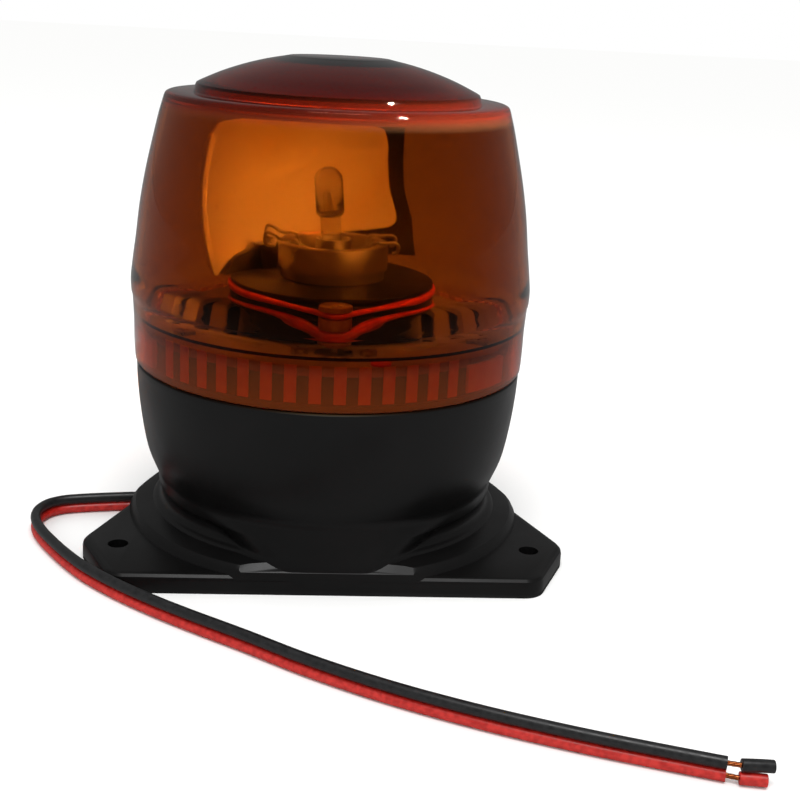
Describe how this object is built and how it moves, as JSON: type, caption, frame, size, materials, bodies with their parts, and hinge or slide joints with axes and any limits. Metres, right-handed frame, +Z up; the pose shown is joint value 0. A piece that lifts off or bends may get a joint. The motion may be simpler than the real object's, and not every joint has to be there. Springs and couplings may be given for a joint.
{
  "type": "rotating warning beacon",
  "caption": "Amber rotating warning beacon: a belt-driven reflector turns round a fixed bulb under a twist-off lens, on a black three-ear foot with a twin cable.",
  "frame": {"origin": "centre of the fixing-bolt circle on the gasket's bottom plane", "axes": "+Z up through the lens, -Y towards the foot's straight front edge, +X to the right seen from the front"},
  "size_m": [0.1735, 0.2118, 0.1341],
  "materials": {
    "black_plastic": "satin",
    "rubber": "matt",
    "amber_lens": "clear gloss",
    "grey_plastic": "matt",
    "steel": "bright",
    "orange_plastic": "gloss",
    "reflector_chrome": "vacuum plated",
    "belt_rubber": "satin",
    "ferrite": "matt",
    "copper": "bare copper",
    "brass": "bright",
    "plated_steel": "bright plated",
    "bulb_glass": "clear",
    "red_pvc": "satin",
    "black_pvc": "satin"
  },
  "bodies": {
    "base": {"base_housing": "black_plastic", "base_gasket": "rubber", "lens_seal": "rubber", "deck_plate": "grey_plastic", "deck_screws": "steel", "deck_plug": "orange_plastic", "stem_tube": "steel", "rotor_thrust_washer": "steel", "rotor_retainer": "steel", "drive_belt_upper": "belt_rubber", "drive_belt_lower": "belt_rubber", "motor_can": "steel", "motor_endcap": "black_plastic", "motor_magnets": "ferrite", "motor_terminals": "brass", "motor_screws": "steel", "bulb_holder": "plated_steel", "bulb_clip": "steel", "bulb_base": "plated_steel", "bulb_terminal": "brass", "bulb_glass": "bulb_glass", "bulb_filament": "steel", "suppressor_capacitor": "orange_plastic", "lead_red": "red_pvc", "lead_black": "black_pvc", "cable_red": "red_pvc", "cable_black": "black_pvc", "copper_strands": "copper", "stub_red": "red_pvc", "stub_black": "black_pvc"},
    "lens": {"lens": "amber_lens"},
    "rotor": {"rotor": "black_plastic", "reflector": "reflector_chrome", "reflector_screws": "steel"},
    "motor_rotor": {"motor_shaft": "steel", "motor_pulley": "brass", "motor_armature": "copper"}
  },
  "joints": [
    {"name": "rotor_spin", "type": "hinge", "parent": "base", "child": "rotor", "pos_m": [0, 0, 0.07], "axis": [0, 0, 1], "continuous": true},
    {"name": "motor_spin", "type": "hinge", "parent": "base", "child": "motor_rotor", "pos_m": [0, -0.0382, 0.07], "axis": [0, 0, 1], "continuous": true},
    {"name": "lens_twist", "type": "hinge", "parent": "base", "child": "lens", "pos_m": [0, 0, 0.06], "axis": [0, 0, 1], "range_deg": [0, 20]}
  ],
  "couplings": [
    {"joint": "motor_spin", "follows": "rotor_spin", "ratio": 8.7077}
  ]
}
